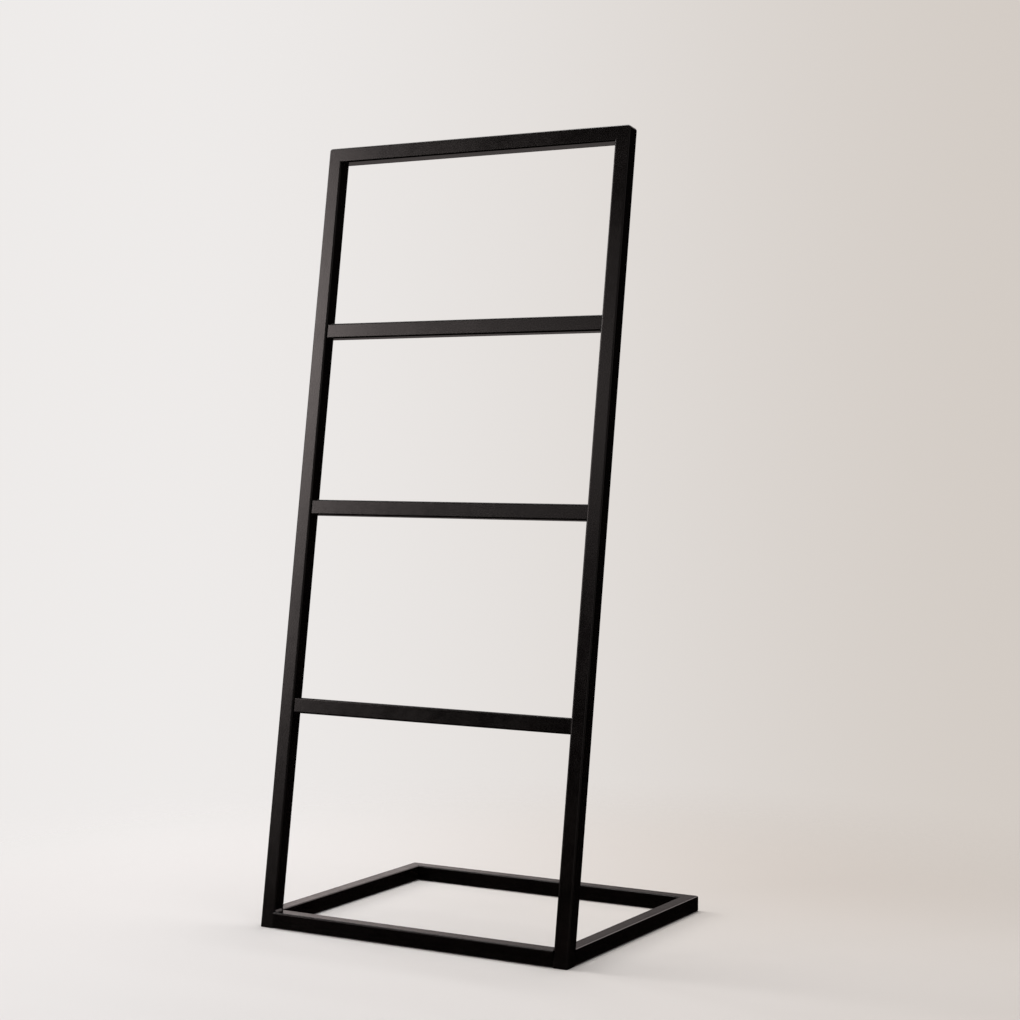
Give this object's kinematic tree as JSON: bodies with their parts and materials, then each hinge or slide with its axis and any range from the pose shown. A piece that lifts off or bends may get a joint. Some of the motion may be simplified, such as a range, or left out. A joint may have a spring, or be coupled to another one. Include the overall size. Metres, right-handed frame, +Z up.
{
  "type": "clothes rack",
  "caption": "Free-standing rack of black powder-coated steel tube: a leaning ladder frame with hanging rungs rises from the front edge of a flat open base frame.",
  "frame": {"origin": "middle of the footprint's bounding rectangle, at floor level", "axes": "+Z up, front of the rack towards -Y, the ladder leans back towards +Y, +X to the right seen from the front"},
  "size_m": [0.45, 0.3666, 1.0151],
  "materials": {
    "coated_steel": "satin black powder coat with a fine orange-peel texture",
    "coated_weld": "satin black powder coat over the weld beads",
    "foot_plastic": "matte black moulded polyethylene"
  },
  "bodies": {
    "root": {"left_upright": "coated_steel", "right_upright": "coated_steel", "top_rail": "coated_steel", "upper_rung": "coated_steel", "middle_rung": "coated_steel", "lower_rung": "coated_steel", "base_front_rail": "coated_steel", "base_rear_rail": "coated_steel", "base_left_rail": "coated_steel", "base_right_rail": "coated_steel", "top_corner_welds": "coated_weld", "upper_rung_welds": "coated_weld", "middle_rung_welds": "coated_weld", "lower_rung_welds": "coated_weld", "front_rail_welds": "coated_weld", "side_rail_welds": "coated_weld", "rear_corner_welds": "coated_weld", "left_foot_plug": "foot_plastic", "right_foot_plug": "foot_plastic", "rear_left_glide": "foot_plastic", "rear_right_glide": "foot_plastic"}
  },
  "joints": []
}
